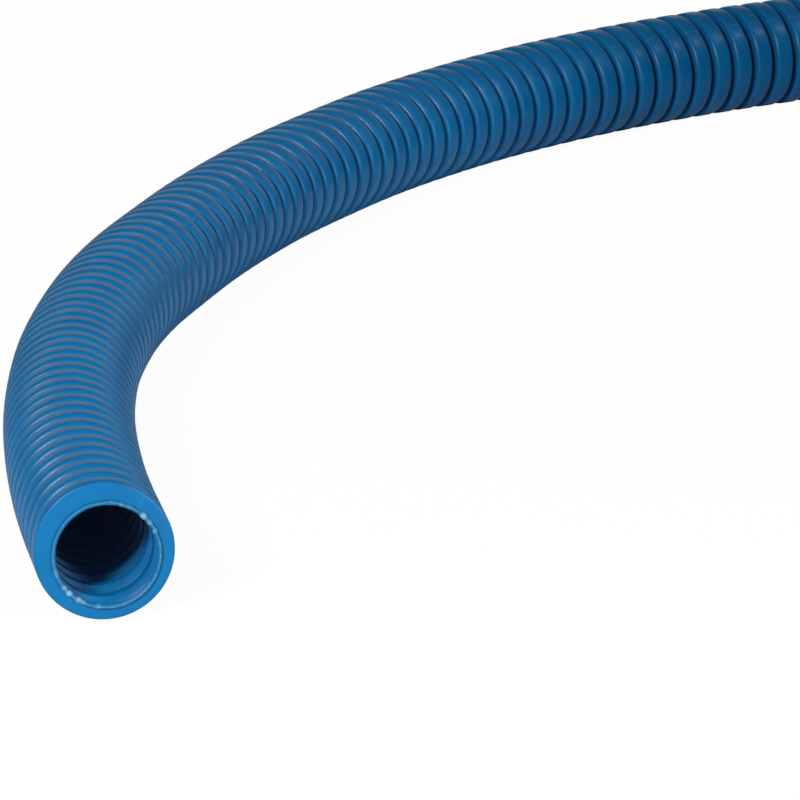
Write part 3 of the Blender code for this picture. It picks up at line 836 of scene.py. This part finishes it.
def bandLine(strands, seat, slope):
    # middle of the webbing: folded back over one bar, round the coil and folded back over the other bar
    reach = hose["radius"] + tie["gap"] + tie["thick"] / 2
    dots = [p + Vector((math.cos(k * math.pi / 60), math.sin(k * math.pi / 60))) * reach
            for p in strands for k in range(120)]
    hull = hullOf(dots)
    up = Vector((-slope.y, slope.x))
    local = [Vector(((p - seat).dot(slope), (p - seat).dot(up)))
             for p in evenly(hull + hull[:1], tie["step"])]
    mouth, low = tie["mouth"], -0.02  # only points near the loop count
    first = max((k for k, p in enumerate(local) if p.y > low and p.x > mouth), key=lambda k: -local[k].x)
    local = local[first:] + local[:first]
    around = local if local[20].y < local[0].y + 0.0005 and local[20].x > local[0].x else local[::-1]
    stop = next(k for k, p in enumerate(around) if k > 60 and p.y > low and -mouth < p.x < 0)
    around = around[:stop]
    fold = tie["thick"] + 0.00015

    def folded(points, turn):
        done = []
        for a, b in zip(points, points[1:]):
            if len(done) * tie["step"] > tie["overlap"]:
                break
            along = (b - a).normalized()
            done.append(a + Vector((along.y, -along.x)) * turn * fold)
        return done

    wrap = tie["bar"] + tie["gap"] + tie["thick"] / 2
    bar = Vector((tie["loopOut"], tie["bar"] + tie["gap"]))
    right = [bar + Vector((math.cos(math.radians(a)),
                           math.sin(math.radians(a)))) * wrap for a in range(80, 281, 20)]
    left = [Vector((-p.x, p.y)) for p in reversed(right)]
    side = 1 if sum(a.x * b.y - b.x * a.y for a, b in zip(around, around[1:])) > 0 else -1
    fullLine = folded(around, side)[::-1] + right + around + left + folded(around[::-1], -side)
    for smoothing in range(2):
        eased = [(a + 2 * b + c) / 4 for a, b, c in zip(fullLine, fullLine[1:], fullLine[2:])]
        fullLine = fullLine[:1] + eased + fullLine[-1:]
    fullLine = evenly(fullLine, 0.0009)
    return [seat + slope * p.x + up * p.y for p in fullLine]


def onCoil(turn, outward, up, across):
    # across follows the coil round
    cx, cy = hose["coilCentre"]
    angle = math.pi / 2 - 2 * math.pi * turn + across / (hose["coilRadius"] + outward)
    reach = hose["coilRadius"] + outward
    return Vector((cx - hose["planCentre"][0] + reach * math.cos(angle),
                   cy - hose["planCentre"][1] + reach * math.sin(angle), up))


def bandPiece(number, turn, material):
    strands = strandsAt(turn)
    seat, slope = seatOf(strands)
    path = bandLine(strands, seat, slope)
    bm = bmesh.new()
    alongLayer = bm.verts.layers.float.new("tieAlong")
    acrossLayer = bm.verts.layers.float.new("tieAcross")
    half, thick = tie["width"] / 2, tie["thick"] / 2
    edge = 0.0003  # the selvedge is thinner
    section = [(-half, -0.4), (-half + edge, -1)]
    section += [(-half + tie["width"] * k / 10, -1) for k in range(1, 10)]
    section += [(half - edge, -1), (half, -0.4)]
    section += [(x, -y) for x, y in reversed(section)]
    rings, far = [], 0.0
    for k, p in enumerate(path):
        a, b = path[max(k - 1, 0)], path[min(k + 1, len(path) - 1)]
        along = (b - a).normalized()
        out = Vector((along.y, -along.x))
        far += (p - path[k - 1]).length if k else 0.0
        ring = []
        for across, rise in section:
            spot = p + out * rise * thick
            vert = bm.verts.new(onCoil(turn, spot.x, spot.y, across))
            vert[alongLayer] = far
            vert[acrossLayer] = across
            ring.append(vert)
        rings.append(ring)
    joinRings(bm, rings, closed=False)
    bm.faces.new(rings[0])
    bm.faces.new(rings[-1])
    print("tie", number, "length", round(far, 4))
    piece = newPiece(f"webbingTie{number}", bm, material(far))
    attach(piece, "stored_length")
    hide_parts(f"coil_tie_{number}")
    return seat, slope


def loopPiece(number, turn, seat, slope, material):
    # a flat four-sided loop of square bar with soft edges
    up = Vector((-slope.y, slope.x))
    bar, corner = tie["bar"], tie["loopCorner"]
    outline = []
    for sx, sy, first in ((1, 1, 0), (-1, 1, 90), (-1, -1, 180), (1, -1, 270)):
        for k in range(7):
            angle = math.radians(first + 15 * k)
            outline.append((sx * (tie["loopOut"] - corner) + corner * math.cos(angle),
                            sy * (tie["loopSide"] - corner) + corner * math.sin(angle), angle))
    bm = bmesh.new()
    rings = []
    for x, y, facing in outline:
        ring = []
        for k in range(16):
            angle = 2 * math.pi * k / 16
            c, s = math.cos(angle), math.sin(angle)
            wide = math.copysign(abs(c) ** 0.55, c) * bar
            high = math.copysign(abs(s) ** 0.55, s) * bar
            px, py = x + wide * math.cos(facing), y + wide * math.sin(facing)
            flat = seat + slope * px + up * (bar + tie["gap"] + high)
            ring.append(bm.verts.new(onCoil(turn, flat.x, flat.y, 0) + sideOf(turn) * py))
        rings.append(ring)
    joinRings(bm, rings)
    piece = newPiece(f"tieLoop{number}", bm, material)
    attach(piece, "stored_length")
    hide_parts(f"tie_buckle_{number}")


def sideOf(turn):
    angle = math.pi / 2 - 2 * math.pi * turn
    return Vector((-math.sin(angle), math.cos(angle), 0))


def webbing(length):
    # black woven tape: bumpy picks in offset columns, dull, with two stitched bars where its ends fold back
    mat, tree, shader = newMaterial("wovenTape")

    def near(value, middle):
        off = addNode(tree, "ABSOLUTE", addNode(tree, "SUBTRACT", value, middle))
        return addNode(tree, "LESS_THAN", off, tie["stitchHalf"])

    def dashed(value):
        part = addNode(tree, "FRACT", addNode(tree, "MULTIPLY", value, tie["stitchesPerMetre"]))
        return addNode(tree, "LESS_THAN", part, 0.72)  # the rest is the gap between two stitches

    def bumps(value):
        return addNode(tree, "ABSOLUTE", addNode(tree, "SINE", addNode(tree, "MULTIPLY", value, math.pi)))

    along = addNode(tree, "ShaderNodeAttribute", attribute_name="tieAlong").outputs["Fac"]
    across = addNode(tree, "ShaderNodeAttribute", attribute_name="tieAcross").outputs["Fac"]
    rows = addNode(tree, "DIVIDE", addNode(tree, "MULTIPLY", along, 1000.0), tie["weave"][0])
    columns = addNode(tree, "DIVIDE", addNode(tree, "MULTIPLY", across, 1000.0), tie["weave"][1])
    offset = addNode(tree, "MULTIPLY", addNode(tree, "FLOOR", columns), 0.5)
    picks = bumps(addNode(tree, "ADD", rows, offset))
    weave = addNode(tree, "MULTIPLY", picks, addNode(tree, "POWER", bumps(columns), 0.5))
    colour = addNode(tree, "ShaderNodeMix",
                     {0: weave, 6: linear(tie["shadow"]), 7: linear(tie["thread"])},
                     data_type="RGBA").outputs[2]
    edge = addNode(tree, "MINIMUM", along, addNode(tree, "SUBTRACT", length, along))  # from either end
    first, last = tie["stitched"]
    inFold = addNode(tree, "MULTIPLY", addNode(tree, "GREATER_THAN", edge, first),
                     addNode(tree, "LESS_THAN", edge, last))
    fromMiddle = addNode(tree, "ABSOLUTE", across)
    sides = addNode(tree, "MULTIPLY", near(fromMiddle, tie["stitchSides"]), dashed(along))
    ends = addNode(tree, "MAXIMUM", near(edge, tie["stitchRows"][0]), near(edge, tie["stitchRows"][1]))
    within = addNode(tree, "LESS_THAN", fromMiddle, tie["stitchSides"] + tie["stitchHalf"])
    onEnds = addNode(tree, "MULTIPLY", ends, dashed(addNode(tree, "ADD", across, 1.0)))
    cross = addNode(tree, "MULTIPLY", onEnds, within)
    stitch = addNode(tree, "MULTIPLY", inFold, addNode(tree, "MAXIMUM", sides, cross))
    colour = addNode(tree, "ShaderNodeMix", {0: stitch, 6: colour, 7: linear(tie["stitch"])},
                     data_type="RGBA").outputs[2]
    height = addNode(tree, "ADD", weave, addNode(tree, "MULTIPLY", stitch, 1.5))
    bump = addNode(tree, "ShaderNodeBump", {"Strength": 0.8, "Distance": 0.0003, "Height": height})
    feed(tree, shader, {"Base Color": colour, "Roughness": 0.7, "Sheen Weight": 0.15, "Normal": bump})
    return mat


loopBlack = speckled("loopMouldedBlack", "#141516", "#1c1d1f", 0.40, 2200.0,
                     0.00005)  # smooth moulded black
for number, turn in enumerate(tie["turns"], 1):
    seat, slope = bandPiece(number, turn, webbing)
    loopPiece(number, turn, seat, slope, loopBlack)
print("ties made")

# studio
studio = {
    "floorGlow": 0.965,  # what the camera sees before the light falls on it
    "floorLit": 0.06,
    "floorBounce": 0.92,
    "air": 0.07,
}

lights = {  # place, aim, size, watts
    "keyLight": ((-1.50, -2.25, 1.28), (-0.4, -0.3, 0.0), (0.45, 0.45), 47),
    "fillPanel": ((1.5, -2.6, 0.6), (0.0, 0.2, 0.0), (1.4, 0.9), 31),
    "backPanel": ((0.2, 3.2, 0.75), (0.1, 0.2, 0.1), (4.4, 1.1), 8),
    "sidePanel": ((2.7, 0.5, 0.6), (0.3, 0.3, 0.0), (2.0, 1.0), 8),
    "topPanel": ((1.5, 0.2, 1.86), (-0.1, 0.4, 0.0), (0.3, 0.3), 4),
}


def byRay(tree, seen, bounced):
    # one closure for the camera, another for light that bounces on to the hose
    ray = addNode(tree, "ShaderNodeLightPath").outputs["Is Camera Ray"]
    return addNode(tree, "ShaderNodeMixShader", ray, bounced, seen)


def makeStudio():
    bpy.ops.mesh.primitive_plane_add(size=60, location=(0, 0, -0.0002))
    floor = bpy.context.object
    floor.name = "studioFloor"
    mat, tree, shader = newMaterial("studioWhite")
    white = linear("#ffffff")
    glow = addNode(tree, "ShaderNodeEmission", {"Color": white, "Strength": studio["floorGlow"]})
    lit = addNode(tree, "ShaderNodeBsdfDiffuse", {"Color": (studio["floorLit"],) * 3 + (1,)})
    both = addNode(tree, "ShaderNodeAddShader", glow, lit)
    bounce = addNode(tree, "ShaderNodeBsdfDiffuse", {"Color": (studio["floorBounce"],) * 3 + (1,)})
    feed(tree, tree.nodes["Material Output"], {0: byRay(tree, both, bounce)})
    floor.data.materials.append(mat)
    world = bpy.data.worlds.new("studioAir")
    bpy.context.scene.world = world
    world.use_nodes = True
    tree = world.node_tree
    bright = addNode(tree, "ShaderNodeBackground", {"Color": white, "Strength": 1.0})
    dim = addNode(tree, "ShaderNodeBackground", {"Color": white, "Strength": studio["air"]})
    feed(tree, tree.nodes["World Output"], {0: byRay(tree, bright, dim)})


def softLight(name, place, aim, size, power):
    data = bpy.data.lights.new(name, "AREA")
    data.shape = "RECTANGLE"
    data.size, data.size_y = size
    data.energy = power
    light = bpy.data.objects.new(name, data)
    light.location = place
    light.rotation_euler = (Vector(aim) - Vector(place)).to_track_quat("-Z", "Y").to_euler()
    light.visible_camera = False
    bpy.context.scene.collection.objects.link(light)


makeStudio()
for name, settings in lights.items():
    softLight(name, *settings)
bpy.context.scene.view_settings.view_transform = "Standard"
print("studio set")
